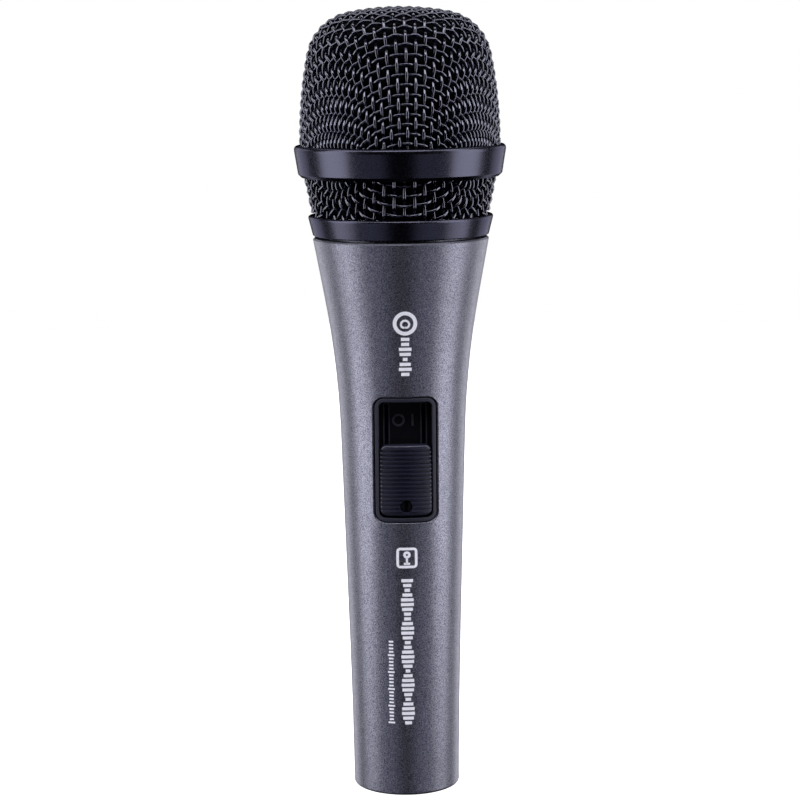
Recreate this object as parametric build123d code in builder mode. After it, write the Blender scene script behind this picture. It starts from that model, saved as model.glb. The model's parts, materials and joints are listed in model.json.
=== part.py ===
from build123d import *
import math
import os

# Dynamic vocal microphone with a slide switch, standing on its connector end.
# Millimetres. +Z runs up the microphone's axis, the switch faces -Y, and the
# origin is the centre of the flat end that the cable plugs into.

# Handle
HANDLE_TOP_Z = 128.15
HANDLE_OUTLINE = [(12.28, 0), (12.56, 22), (14.78, 99.4), (20.02, HANDLE_TOP_Z)]
HANDLE_BENDS = (0.55, 1500, 200)
HANDLE_TOP_CHAMFER = 0.35
NECK_R = 17.0
NECK_TOP_Z = 133.0
CAVITY_OUTLINE = [(15.2, NECK_TOP_Z), (15.2, 121.5), (12.3, 97), (11.2, 62), (9.3, 34), (9.3, 16)]
THREAD_PITCH = 1.0
THREAD_DEPTH = 0.4
THREAD_TURNS = 4
THREAD_START_Z = 129.3
THREAD_CLEARANCE = 0.08

# Connector in the handle's end (three-pin, the standard size)
SOCKET_R = 8.15
SOCKET_DEPTH = 16.0
MOUTH_R = 8.45
MOUTH_DEPTH = 2.0
INSERT_R = 9.2
INSERT_TOP_Z = 24.0
INSERT_CHAMFER = 0.5
PIN_R = 1.2
PIN_SHANK_R = 1.7
PIN_CIRCLE_R = 4.32
PIN_TIP_Z = 3.5
CUP_R = 1.1
CUP_TOP_Z = 29.0
CUP_BORE_R = 0.6
CUP_BORE_DEPTH = 3.0
GROUND_STRIP_WIDTH = 1.6
GROUND_STRIP_X = -8.5
KEYWAY_WIDTH = 3.5
KEYWAY_R = 9.0
SET_SCREW_R = 1.2
SET_SCREW_Z = 20.0
SET_SCREW_HOLE_R = 1.6
SET_SCREW_HEAD_Y = 11.5
SET_SCREW_LENGTH = 5.4
SET_SCREW_BORE_DEPTH = 3.6
HEX_SOCKET_R = 0.7
HEX_SOCKET_DEPTH = 1.4

# Switch in the handle's front; a depth is a distance from the axis towards -Y
WINDOW_Z = (64.45, 93.2)
WINDOW_HALF_WIDTH = 7.07
WINDOW_CORNER_R = 2.4
WINDOW_EDGE_R = 0.3
TRAY_GAP = 0.2
TRAY_RIM = 0.85
TRAY_PROUD = 0.12
TRAY_EDGE_R = 0.15
TRAY_BACK_DEPTH = 9.6
TRAY_FLOOR_DEPTH = 10.9
GUIDE_X = 4.2
GUIDE_WIDTH = 0.9
GUIDE_LIP_WIDTH = 0.3
GUIDE_LIP_HEIGHT = 0.25
GUIDE_Z = (67.2, 91.4)
SLIDER_Z = (66.0, 82.2)
SLIDER_HALF_WIDTH = 5.8
SLIDER_CORNER_R = 1.6
SLIDER_FRONT_R = 14.05
SLIDER_EDGE_R = 0.5
SLIDER_BACK_DEPTH = 11.25
SLIDER_GROOVES = 16
SLIDER_GROOVES_MID_Z = 73.85
SLIDER_GROOVE_PITCH = 0.945
SLIDER_GROOVE_WIDTH = 0.58
SLIDER_GROOVE_DEPTH = 0.35
LOCK_SCREW_Z = 68.2
LOCK_SCREW_R = 1.3
LOCK_SCREW_SUNK = 0.5
LOCK_SCREW_SLOT_WIDTH = 0.7
LOCK_SCREW_SLOT_DEPTH = 0.8
LEG_WIDTH = 0.6
LEG_Z = (69.0, 79.5)
CARRIAGE_WIDTH = 10.2
CARRIAGE_Z = (68.0, 80.5)
CARRIAGE_DEPTHS = (8.0, 9.4)
BOARD_DEPTHS = (5.4, 7.0)
BOARD_Z = (60.0, 97.0)
BOARD_HALF_WIDTH = 7.6
SOLDER_HOLE_R = 0.6
SOLDER_HOLE_X = 5.5
SOLDER_HOLE_SPACING = 32.0
TRACK_HEIGHT = 0.1
TRACK_X = 2.0
TRACK_WIDTH = 1.8
TRACK_Z = (68.0, 90.0)
TRACK_BREAK_Z = (77.4, 80.0)
WIPER_THICKNESS = 0.2
WIPER_BASE_Z = (69.5, 72.5)
FINGER_Z = (72.0, 80.0)
FINGER_WIDTH = 1.5
BOSS_R = 1.2
BOSS_Z = (65.6, 91.8)
BOARD_SCREW_R = 0.7
BOARD_SCREW_LENGTH = 4.2
SCREW_HEAD_R = 1.3
SCREW_HEAD_HEIGHT = 0.9
CROSS_LENGTH = 1.8
CROSS_WIDTH = 0.35

# Basket of woven wire
DOME_EDGE_R = 22.85
DOME_EDGE_Z = 150.0
DOME_BOTTOM_Z = 145.7
DOME_SIDE_ARC_R = 100.0
DOME_SHOULDER_ARC_R = 12.0
DOME_CROWN_ARC_R = 60.0
TOTAL_HEIGHT = 180.0
MESH_THICKNESS = 1.56
BAND_OUTLINE = [(20.2, 131.5), (20.3, 133.5), (22.0, 142.1), (22.3, 145.6)]
WAIST_RING_R = 24.0
WAIST_RING_Z = (141.9, 149.05)
BASE_RING_Z = (128.7, 133.25)

# Foam liner inside the basket
FOAM_GAP = 0.3
FOAM_THICKNESS = 3.0
FOAM_BOTTOM_Z = 133.25
FOAM_BOTTOM_R = 17.1

# Capsule and its rubber suspension
CARRIER_Z = (123.0, 134.4)
CARRIER_R = 15.15
CARRIER_FLANGE_R = 16.8
CARRIER_BORE_R = 14.05
SHOCK_WALL = 0.7
SHOCK_SLEEVE_Z = (125.0, 135.2)
SHOCK_FLANGE_Z = (124.0, 133.6)
SHOCK_WEB_Z = (128.2, 129.6)
FRAME_STEM_R = 12.0
FRAME_R = 14.2
FRAME_STEM_Z = (124.0, 136.0)
FRAME_FLOOR_TOP_Z = 139.0
FRAME_TOP_Z = 152.2
DIAPHRAGM_SEAT_Z = 150.9
VENT_CIRCLE_R = 9.6
VENT_COUNT = 8
VENT_R = 0.9
MAGNET_CUP_R = 9.0
MAGNET_CUP_BORE_R = 7.7
MAGNET_CUP_Z = (139.0, 150.0)
MAGNET_R = 6.3
MAGNET_Z = (141.5, 147.5)
POLE_R = 6.9
VOICE_COIL_R = (7.1, 7.5)
VOICE_COIL_Z = (146.6, 151.3)
DIAPHRAGM_R = 12.9
DIAPHRAGM_THICKNESS = 0.25
DIAPHRAGM_RISE = 1.9
BULGE_R = 12.0
BULGE_RISE = 0.9
COVER_R = 15.0
COVER_Z = (150.4, 156.6)
COVER_THICKNESS = 0.9
COVER_HOLE_R = 0.9
COVER_HOLE_ROWS = 3
COVER_HOLE_SPACING = 3.25
FELT_R = 13.4
FELT_THICKNESS = 0.95
CHAMBER_R = 11.0
CHAMBER_Z = (108.0, 135.9)
CHAMBER_WALL = 1.2
CHAMBER_FOAM_TOP = 15.0
HUM_COIL_Z = (140.2, 148.2)
BOBBIN_R = 12.7
BOBBIN_WALL = 0.8
TERMINAL_BOARD_R = 7.5
TERMINAL_BOARD_THICKNESS = 1.4
TERMINAL_X = 2.5
TERMINAL_SIZE = (1.6, 0.5)
TERMINAL_LENGTH = 2.6

# Leads
LEAD_R = 0.45

ROUND_EPS = 0.02


def save(part, name):
    part.label = name
    export_step(part, f"parts/{name}.step")


def arc_point(centre, radius, angle):
    return (centre[0] + radius * math.cos(angle), centre[1] + radius * math.sin(angle))


def arc_about(centre, radius, start, end):
    """An arc about a centre, between two angles in radians."""
    middle = (start + end) / 2
    ThreePointArc(*[arc_point(centre, radius, angle) for angle in (start, middle, end)])


def dome_centres():
    """Centres of the dome's side, shoulder and crown arcs, each tangent to the next."""
    side = (DOME_EDGE_R - DOME_SIDE_ARC_R, DOME_EDGE_Z)
    crown = (0, TOTAL_HEIGHT - DOME_CROWN_ARC_R)
    to_side = DOME_SIDE_ARC_R - DOME_SHOULDER_ARC_R
    to_crown = DOME_CROWN_ARC_R - DOME_SHOULDER_ARC_R
    gap = math.dist(side, crown)
    along = (to_side**2 - to_crown**2 + gap**2) / (2 * gap)
    across = math.sqrt(to_side**2 - along**2)
    ux = (crown[0] - side[0]) / gap
    uz = (crown[1] - side[1]) / gap
    shoulder = (side[0] + ux * along - uz * across, side[1] + uz * along + ux * across)
    return side, shoulder, crown


def angle_from(centre, point):
    return math.atan2(point[1] - centre[1], point[0] - centre[0])


def dome_line(inset):
    """The dome's half outline, moved inwards, from its widest level to the apex."""
    side, shoulder, crown = dome_centres()
    at_side = angle_from(side, shoulder)
    at_crown = angle_from(crown, shoulder)
    arc_about(side, DOME_SIDE_ARC_R - inset, 0, at_side)
    arc_about(shoulder, DOME_SHOULDER_ARC_R - inset, at_side, at_crown)
    arc_about(crown, DOME_CROWN_ARC_R - inset, at_crown, math.pi / 2)


def dome_cap(base_z, half_width, rise):
    """Half of a shallow arc, level at the axis and down to a base height at its edge."""
    radius = (half_width**2 + rise**2) / (2 * rise)
    centre = (0, base_z + rise - radius)
    arc_about(centre, radius, angle_from(centre, (half_width, base_z)), math.pi / 2)


def dome_shell(outer_inset, inner_inset, bottom_z):
    """A thin dome between two insets, with a straight wall down to its rim."""
    with BuildPart() as shell:
        with BuildSketch(Plane.XZ):
            for inset, mode in ((outer_inset, Mode.ADD), (inner_inset, Mode.SUBTRACT)):
                with BuildLine():
                    dome_line(inset)
                    Polyline(
                        (DOME_EDGE_R - inset, DOME_EDGE_Z),
                        (DOME_EDGE_R - inset, bottom_z),
                        (0, bottom_z),
                        (0, TOTAL_HEIGHT - inset),
                    )
                make_face(mode=mode)
        revolve(axis=Axis.Z)
    return shell.part


def turned(points):
    """A turned piece from its closed half outline of (radius, height) corners."""
    with BuildPart() as piece:
        with BuildSketch(Plane.XZ):
            with BuildLine():
                Polyline(*points, close=True)
            make_face()
        revolve(axis=Axis.Z)
    return piece.part


def ring(inner_r, outer_r, low_z, high_z):
    """A plain ring, or a disc where the inner radius is zero."""
    return turned([(inner_r, low_z), (outer_r, low_z), (outer_r, high_z), (inner_r, high_z)])


def handle_envelope(growth):
    """The solid inside the handle's outer surface, grown by a small amount."""
    with BuildPart() as envelope:
        with BuildSketch(Plane.XZ):
            with BuildLine():
                outline = [(r + growth, z) for r, z in HANDLE_OUTLINE]
                FilletPolyline(*outline, radius=HANDLE_BENDS[1:])
                Polyline(outline[-1], (0, HANDLE_TOP_Z), (0, 0), outline[0])
            make_face()
        revolve(axis=Axis.Z)
    return envelope.part


def thread_grooves(crest_r, depth):
    """Turned grooves that stand for a screw thread, cut towards or away from the axis."""
    half = THREAD_PITCH * 0.36
    with BuildPart() as grooves:
        with BuildSketch(Plane.XZ):
            for turn in range(THREAD_TURNS):
                z = THREAD_START_Z + turn * THREAD_PITCH
                overshoot = -math.copysign(0.05, depth)
                with BuildLine():
                    Polyline(
                        (crest_r + overshoot, z - half),
                        (crest_r + depth, z),
                        (crest_r + overshoot, z + half),
                        close=True,
                    )
                make_face()
        revolve(axis=Axis.Z)
    return grooves.part


def front_box(width, low_z, high_z, near_depth, far_depth, corner_r=0.0, x=0.0):
    """A block in the handle's front, between two depths, with rounded upright corners."""
    with BuildPart() as block:
        with BuildSketch(Plane.XZ.offset(near_depth)):
            with Locations((x, (low_z + high_z) / 2)):
                if corner_r:
                    RectangleRounded(width, high_z - low_z, corner_r)
                else:
                    Rectangle(width, high_z - low_z)
        extrude(amount=far_depth - near_depth)
    return block.part


def front_edges_of(piece, nearest_r, z_range):
    """The edges where an opening in the front meets the outer surface."""
    low_z, high_z = z_range

    def outside(edge):
        centre = edge.center()
        in_front = centre.Y < 0 and math.hypot(centre.X, centre.Y) > nearest_r
        return in_front and low_z - 0.1 < centre.Z < high_z + 0.1

    return piece.edges().filter_by(outside)


def lead(route):
    """A round insulated wire along a smooth route of straight runs and tangent arcs."""
    points = [Vector(*point) for point in route]
    radii = []
    for before, at, after in zip(points, points[1:], points[2:]):
        turn = math.radians((at - before).get_angle(after - at))
        shorter = min((at - before).length, (after - at).length)
        radii.append(0.45 * shorter / math.tan(turn / 2))
    with BuildPart() as wire:
        with BuildLine():
            path = FilletPolyline(*points, radius=radii)
        with BuildSketch(Plane(origin=path @ 0, z_dir=path % 0)):
            Circle(LEAD_R)
        sweep()
    return wire.part


os.makedirs("parts", exist_ok=True)

# ---- Handle shell: one cast and turned metal tube ----

window = front_box(
    2 * WINDOW_HALF_WIDTH, *WINDOW_Z, TRAY_BACK_DEPTH - 4, 17, corner_r=WINDOW_CORNER_R
)
with BuildPart() as handle_shell:
    with BuildSketch(Plane.XZ):
        with BuildLine():
            end_face = (MOUTH_R, 0)
            top_r = HANDLE_OUTLINE[-1][0]
            FilletPolyline(
                end_face,
                *HANDLE_OUTLINE[:-1],
                (top_r, HANDLE_TOP_Z - HANDLE_TOP_CHAMFER),
                radius=HANDLE_BENDS,
            )
            Polyline(
                (top_r, HANDLE_TOP_Z - HANDLE_TOP_CHAMFER),
                (top_r - HANDLE_TOP_CHAMFER, HANDLE_TOP_Z),
                (NECK_R, HANDLE_TOP_Z),
                (NECK_R, NECK_TOP_Z),
                *CAVITY_OUTLINE,
                (SOCKET_R, SOCKET_DEPTH),
                (SOCKET_R, MOUTH_DEPTH),
                (MOUTH_R, MOUTH_DEPTH),
                end_face,
            )
        make_face()
    revolve(axis=Axis.Z)
    add(thread_grooves(NECK_R, -THREAD_DEPTH), mode=Mode.SUBTRACT)
    add(window, mode=Mode.SUBTRACT)
    fillet(front_edges_of(handle_shell, HANDLE_OUTLINE[0][0], WINDOW_Z), WINDOW_EDGE_R)
    with Locations((0, KEYWAY_R / 2, 0)):
        Box(
            KEYWAY_WIDTH,
            KEYWAY_R,
            SOCKET_DEPTH - 1,
            align=(Align.CENTER, Align.CENTER, Align.MIN),
            mode=Mode.SUBTRACT,
        )
    with Locations(Plane(origin=(0, HANDLE_OUTLINE[1][0] + 1, SET_SCREW_Z), z_dir=(0, 1, 0))):
        Hole(SET_SCREW_HOLE_R, depth=5)
save(handle_shell.part, "handle_shell")

# ---- Three-pin connector in the handle's end ----

pin_angles = {"1": 150, "2": 30, "3": -90}
pin_places = {
    name: (
        PIN_CIRCLE_R * math.cos(math.radians(angle)),
        PIN_CIRCLE_R * math.sin(math.radians(angle)),
    )
    for name, angle in pin_angles.items()
}

with BuildPart() as xlr_insert:
    add(ring(0, INSERT_R, SOCKET_DEPTH, INSERT_TOP_Z))
    with BuildSketch(Plane.XY.offset(SOCKET_DEPTH)):
        with Locations(*pin_places.values()):
            Circle(PIN_SHANK_R + ROUND_EPS)
    extrude(amount=INSERT_TOP_Z - SOCKET_DEPTH, mode=Mode.SUBTRACT)
    with Locations(Plane(origin=(0, INSERT_R, SET_SCREW_Z), z_dir=(0, 1, 0))):
        Hole(SET_SCREW_R + ROUND_EPS, depth=SET_SCREW_BORE_DEPTH)
    top_edges = xlr_insert.edges().filter_by(GeomType.CIRCLE).group_by(Axis.Z)[-1]
    chamfer(top_edges.sort_by(SortBy.RADIUS)[-1], INSERT_CHAMFER)
save(xlr_insert.part, "xlr_insert")

for name, (x, y) in pin_places.items():
    with BuildPart() as pin:
        with BuildSketch(Plane.XY.offset(PIN_TIP_Z)):
            with Locations((x, y)):
                Circle(PIN_R)
        extrude(amount=SOCKET_DEPTH - PIN_TIP_Z)
        fillet(pin.edges().group_by(Axis.Z)[0], PIN_R * 0.8)
        with BuildSketch(Plane.XY.offset(SOCKET_DEPTH)):
            with Locations((x, y)):
                Circle(PIN_SHANK_R)
        extrude(amount=INSERT_TOP_Z - SOCKET_DEPTH)
        with BuildSketch(Plane.XY.offset(INSERT_TOP_Z)):
            with Locations((x, y)):
                Circle(CUP_R)
        extrude(amount=CUP_TOP_Z - INSERT_TOP_Z)
        with BuildSketch(Plane.XY.offset(CUP_TOP_Z)):
            with Locations((x, y)):
                Circle(CUP_BORE_R)
        extrude(amount=-CUP_BORE_DEPTH, mode=Mode.SUBTRACT)
    save(pin.part, f"xlr_pin_{name}")

# The ground clip lies on the insert, touches pin 1 and springs against the handle's bore.
ground_x, ground_y = pin_places["1"]
with BuildPart() as xlr_ground_spring:
    with BuildSketch(Plane.XZ.offset(-ground_y - GROUND_STRIP_WIDTH / 2)):
        with BuildLine():
            strip = FilletPolyline(
                (ground_x - CUP_R - 0.1, INSERT_TOP_Z + 0.2),
                (GROUND_STRIP_X, INSERT_TOP_Z + 0.2),
                (GROUND_STRIP_X, INSERT_TOP_Z + 4.2),
                (GROUND_STRIP_X + 0.6, INSERT_TOP_Z + 6.4),
                radius=(0.8, 1.2),
            )
            offset(strip, amount=0.13)
        make_face()
    extrude(amount=GROUND_STRIP_WIDTH)
save(xlr_ground_spring.part, "xlr_ground_spring")

with BuildPart() as xlr_set_screw:
    with BuildSketch(Plane.XZ.offset(-SET_SCREW_HEAD_Y)):
        with Locations((0, SET_SCREW_Z)):
            Circle(SET_SCREW_R)
    extrude(amount=SET_SCREW_LENGTH)
    with BuildSketch(Plane.XZ.offset(-SET_SCREW_HEAD_Y)):
        with Locations((0, SET_SCREW_Z)):
            RegularPolygon(HEX_SOCKET_R, 6)
    extrude(amount=HEX_SOCKET_DEPTH, mode=Mode.SUBTRACT)
save(xlr_set_screw.part, "xlr_set_screw")

# ---- Switch tray: the rim and floor that the slider runs in ----

tray_half = WINDOW_HALF_WIDTH - TRAY_GAP
tray_z = (WINDOW_Z[0] + TRAY_GAP, WINDOW_Z[1] - TRAY_GAP)
recess_half = tray_half - TRAY_RIM
recess_z = (tray_z[0] + TRAY_RIM, tray_z[1] - TRAY_RIM)
tray_block = front_box(
    2 * tray_half, *tray_z, TRAY_BACK_DEPTH, 16, corner_r=WINDOW_CORNER_R - TRAY_GAP
)
recess = front_box(
    2 * recess_half,
    *recess_z,
    TRAY_FLOOR_DEPTH,
    17,
    corner_r=WINDOW_CORNER_R - TRAY_GAP - TRAY_RIM,
)
with BuildPart() as switch_tray:
    add(tray_block)
    add(handle_envelope(TRAY_PROUD), mode=Mode.INTERSECT)
    add(recess, mode=Mode.SUBTRACT)
    fillet(front_edges_of(switch_tray, HANDLE_OUTLINE[1][0] + 0.5, tray_z), TRAY_EDGE_R)
    for side in (-1, 1):
        lip_width = GUIDE_WIDTH + 2 * GUIDE_LIP_WIDTH
        lip_z = (GUIDE_Z[0] - GUIDE_LIP_WIDTH, GUIDE_Z[1] + GUIDE_LIP_WIDTH)
        lip_top = TRAY_FLOOR_DEPTH + GUIDE_LIP_HEIGHT
        add(front_box(lip_width, *lip_z, TRAY_FLOOR_DEPTH - 0.5, lip_top, 0.6, side * GUIDE_X))
        slot = front_box(GUIDE_WIDTH, *GUIDE_Z, TRAY_BACK_DEPTH - 1, 12, 0.4, side * GUIDE_X)
        add(slot, mode=Mode.SUBTRACT)
    with BuildSketch(Plane.XZ.offset(BOARD_DEPTHS[1])):
        with Locations(*[(0, z) for z in BOSS_Z]):
            Circle(BOSS_R)
    extrude(amount=TRAY_BACK_DEPTH - BOARD_DEPTHS[1] + 0.1)
    with BuildSketch(Plane.XZ.offset(BOARD_DEPTHS[1])):
        with Locations(*[(0, z) for z in BOSS_Z]):
            Circle(BOARD_SCREW_R + ROUND_EPS)
    extrude(amount=3, mode=Mode.SUBTRACT)
save(switch_tray.part, "switch_tray")

# ---- Slider, its lock screw, and the carriage and contact behind the tray ----

slider_block = front_box(
    2 * SLIDER_HALF_WIDTH, *SLIDER_Z, SLIDER_BACK_DEPTH, 15, corner_r=SLIDER_CORNER_R
)
with BuildPart() as switch_slider:
    add(slider_block)
    add(ring(0, SLIDER_FRONT_R, SLIDER_Z[0] - 1, SLIDER_Z[1] + 1), mode=Mode.INTERSECT)
    front_edges = switch_slider.edges().filter_by(
        lambda e: e.center().Y < -SLIDER_BACK_DEPTH - 0.3 and e.geom_type != GeomType.LINE
    )
    fillet(front_edges, SLIDER_EDGE_R)
    with BuildSketch(Plane.XZ):
        with Locations((SLIDER_FRONT_R, SLIDER_GROOVES_MID_Z)):
            with GridLocations(1, SLIDER_GROOVE_PITCH, 1, SLIDER_GROOVES):
                Rectangle(2 * SLIDER_GROOVE_DEPTH, SLIDER_GROOVE_WIDTH)
    revolve(axis=Axis.Z, mode=Mode.SUBTRACT)
    with BuildSketch(Plane.XZ.offset(SLIDER_BACK_DEPTH)):
        with Locations((0, LOCK_SCREW_Z)):
            Circle(LOCK_SCREW_R + 0.1)
    extrude(amount=4, mode=Mode.SUBTRACT)
    for side in (-1, 1):
        leg = front_box(
            LEG_WIDTH, *LEG_Z, CARRIAGE_DEPTHS[0], SLIDER_BACK_DEPTH + 0.1, x=side * GUIDE_X
        )
        add(leg)
save(switch_slider.part, "switch_slider")

with BuildPart() as lock_screw:
    with BuildSketch(Plane.XZ.offset(SLIDER_BACK_DEPTH + 0.1)):
        with Locations((0, LOCK_SCREW_Z)):
            Circle(LOCK_SCREW_R)
    screw_front = SLIDER_FRONT_R - LOCK_SCREW_SUNK
    extrude(amount=screw_front - SLIDER_BACK_DEPTH - 0.1)
    chamfer(lock_screw.faces().sort_by(Axis.Y)[0].edges(), 0.15)
    slot_z = (LOCK_SCREW_Z - 2, LOCK_SCREW_Z + 2)
    slot_floor = screw_front - LOCK_SCREW_SLOT_DEPTH
    slot = front_box(LOCK_SCREW_SLOT_WIDTH, *slot_z, slot_floor, screw_front + 1)
    add(slot, mode=Mode.SUBTRACT)
save(lock_screw.part, "lock_screw")

with BuildPart() as slider_carriage:
    add(front_box(CARRIAGE_WIDTH, *CARRIAGE_Z, *CARRIAGE_DEPTHS, corner_r=0.8))
    slot_z = (LEG_Z[0] - ROUND_EPS, LEG_Z[1] + ROUND_EPS)
    for side in (-1, 1):
        leg_slot = front_box(LEG_WIDTH + 2 * ROUND_EPS, *slot_z, 7, 10, x=side * GUIDE_X)
        add(leg_slot, mode=Mode.SUBTRACT)
save(slider_carriage.part, "slider_carriage")

# A bronze leaf under the carriage: a flat base and two fingers that bow to the board.
base_y = -CARRIAGE_DEPTHS[0]
contact_y = -BOARD_DEPTHS[1] - TRACK_HEIGHT - WIPER_THICKNESS - 0.05
with BuildPart() as wiper_contact:
    add(front_box(6, *WIPER_BASE_Z, -base_y - WIPER_THICKNESS, -base_y, 0.4))
    finger_low, finger_high = FINGER_Z
    finger_mid = (finger_low + finger_high) / 2
    for x in (-TRACK_X, TRACK_X):
        with BuildSketch(Plane.YZ.offset(x - FINGER_WIDTH / 2)):
            with BuildLine():
                for leaf_y in (0, WIPER_THICKNESS):
                    ends = [(base_y + leaf_y, finger_low), (base_y + leaf_y, finger_high)]
                    ThreePointArc(ends[0], (contact_y + leaf_y, finger_mid), ends[1])
                for z in FINGER_Z:
                    Line((base_y, z), (base_y + WIPER_THICKNESS, z))
            make_face()
        extrude(amount=FINGER_WIDTH)
save(wiper_contact.part, "wiper_contact")

# ---- Circuit board behind the switch ----

board = front_box(2 * BOARD_HALF_WIDTH, *BOARD_Z, *BOARD_DEPTHS, corner_r=1.5)
with BuildPart() as switch_board:
    add(board)
    with BuildSketch(Plane.XZ.offset(BOARD_DEPTHS[0])):
        with Locations(*[(0, z) for z in BOSS_Z]):
            Circle(BOARD_SCREW_R + 0.1)
        with Locations((0, (BOARD_Z[0] + BOARD_Z[1]) / 2)):
            with GridLocations(2 * SOLDER_HOLE_X, SOLDER_HOLE_SPACING, 2, 2):
                Circle(SOLDER_HOLE_R)
    extrude(amount=BOARD_DEPTHS[1] - BOARD_DEPTHS[0], mode=Mode.SUBTRACT)
save(switch_board.part, "switch_board")

with BuildPart() as board_tracks:
    track_depths = (BOARD_DEPTHS[1], BOARD_DEPTHS[1] + TRACK_HEIGHT)
    low_run = (TRACK_Z[0], TRACK_BREAK_Z[0])
    high_run = (TRACK_BREAK_Z[1], TRACK_Z[1])
    for x, run in ((-TRACK_X, TRACK_Z), (TRACK_X, low_run), (TRACK_X, high_run)):
        add(front_box(TRACK_WIDTH, *run, *track_depths, corner_r=0.5, x=x))
save(board_tracks.part, "board_tracks")

with BuildPart() as board_screws:
    head_depth = BOARD_DEPTHS[0] - SCREW_HEAD_HEIGHT
    with BuildSketch(Plane.XZ.offset(head_depth)):
        with Locations(*[(0, z) for z in BOSS_Z]):
            Circle(SCREW_HEAD_R)
    extrude(amount=SCREW_HEAD_HEIGHT)
    with BuildSketch(Plane.XZ.offset(BOARD_DEPTHS[0])):
        with Locations(*[(0, z) for z in BOSS_Z]):
            Circle(BOARD_SCREW_R)
    extrude(amount=BOARD_SCREW_LENGTH)
    with BuildSketch(Plane.XZ.offset(head_depth)):
        with Locations(*[(0, z) for z in BOSS_Z]):
            Rectangle(CROSS_LENGTH, CROSS_WIDTH)
            Rectangle(CROSS_WIDTH, CROSS_LENGTH)
    extrude(amount=SCREW_HEAD_HEIGHT / 2, mode=Mode.SUBTRACT)
save(board_screws.part, "board_screws")

# ---- Basket: two stretches of woven wire held by two rings ----

save(dome_shell(0, MESH_THICKNESS, DOME_BOTTOM_Z), "grille_dome")

band_inside = [(r - MESH_THICKNESS, z) for r, z in reversed(BAND_OUTLINE)]
save(turned(BAND_OUTLINE + band_inside), "grille_band")

with BuildPart() as waist_ring:
    with BuildSketch(Plane.XZ):
        with BuildLine():
            low_z, high_z = WAIST_RING_Z
            FilletPolyline(
                (DOME_EDGE_R + 0.08, high_z),
                (WAIST_RING_R - 0.03, high_z),
                (WAIST_RING_R, high_z - 1.1),
                (WAIST_RING_R - 0.85, low_z + 0.7),
                (BAND_OUTLINE[-1][0] + 0.1, low_z),
                radius=(0.8, 0.6, 0.4),
            )
            Polyline(
                (BAND_OUTLINE[-1][0] + 0.1, low_z),
                (BAND_OUTLINE[-1][0] + 0.08, DOME_BOTTOM_Z - 0.05),
                (DOME_EDGE_R + 0.08, DOME_BOTTOM_Z - 0.05),
                (DOME_EDGE_R + 0.08, high_z),
            )
        make_face()
    revolve(axis=Axis.Z)
save(waist_ring.part, "waist_ring")

bore_r = NECK_R + THREAD_CLEARANCE
with BuildPart() as base_ring:
    with BuildSketch(Plane.XZ):
        with BuildLine():
            low_z, high_z = BASE_RING_Z
            band_r, band_z = BAND_OUTLINE[0]
            FilletPolyline(
                (bore_r + 0.5, low_z),
                (20.0, low_z),
                (21.15, high_z),
                (band_r + 0.15, high_z),
                radius=(0.3, 0.5),
            )
            Polyline(
                (band_r + 0.15, high_z),
                (band_r + 0.05, band_z),
                (band_r - MESH_THICKNESS - 0.05, band_z),
                (band_r - MESH_THICKNESS - 0.05, high_z - 0.4),
                (bore_r, high_z - 0.4),
                (bore_r, low_z + 0.5),
                (bore_r + 0.5, low_z),
            )
        make_face()
    revolve(axis=Axis.Z)
    add(thread_grooves(bore_r, THREAD_DEPTH * 0.8), mode=Mode.SUBTRACT)
save(base_ring.part, "base_ring")

# ---- Foam liner ----

foam_outer = MESH_THICKNESS + FOAM_GAP
foam_inner = foam_outer + FOAM_THICKNESS
foam_dome = dome_shell(foam_outer, foam_inner, DOME_BOTTOM_Z)
_, band_foot, band_shoulder, band_top = [(r - foam_outer, z) for r, z in BAND_OUTLINE]
skirt_outline = [
    (band_foot[0], FOAM_BOTTOM_Z),
    band_shoulder,
    (band_top[0], DOME_BOTTOM_Z),
    (DOME_EDGE_R - foam_inner, DOME_BOTTOM_Z),
    (FOAM_BOTTOM_R, FOAM_BOTTOM_Z),
]
with BuildPart() as foam_liner:
    add(foam_dome)
    add(turned(skirt_outline))
save(foam_liner.part, "foam_liner")

# ---- Carrier ring and rubber shock mount in the neck ----

carrier_low, carrier_high = CARRIER_Z
carrier_outline = [
    (CARRIER_BORE_R, carrier_low),
    (CARRIER_R, carrier_low),
    (CARRIER_R, NECK_TOP_Z),
    (CARRIER_FLANGE_R, NECK_TOP_Z),
    (CARRIER_FLANGE_R, carrier_high),
    (CARRIER_BORE_R, carrier_high),
]
save(turned(carrier_outline), "capsule_carrier")

shock_inner = FRAME_STEM_R + 0.1
shock_outer = CARRIER_BORE_R - 0.05
sleeve_face = shock_inner + SHOCK_WALL
flange_face = shock_outer - SHOCK_WALL
web_low, web_high = SHOCK_WEB_Z
sleeve_low, sleeve_high = SHOCK_SLEEVE_Z
flange_low, flange_high = SHOCK_FLANGE_Z
shock_outline = [
    (shock_inner, sleeve_low),
    (sleeve_face, sleeve_low),
    (sleeve_face, web_low),
    (flange_face, web_low),
    (flange_face, flange_low),
    (shock_outer, flange_low),
    (shock_outer, flange_high),
    (flange_face, flange_high),
    (flange_face, web_high),
    (sleeve_face, web_high),
    (sleeve_face, sleeve_high),
    (shock_inner, sleeve_high),
]
save(turned(shock_outline), "shock_mount")

# ---- Capsule: frame, magnet system, covers and rear chamber ----

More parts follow.
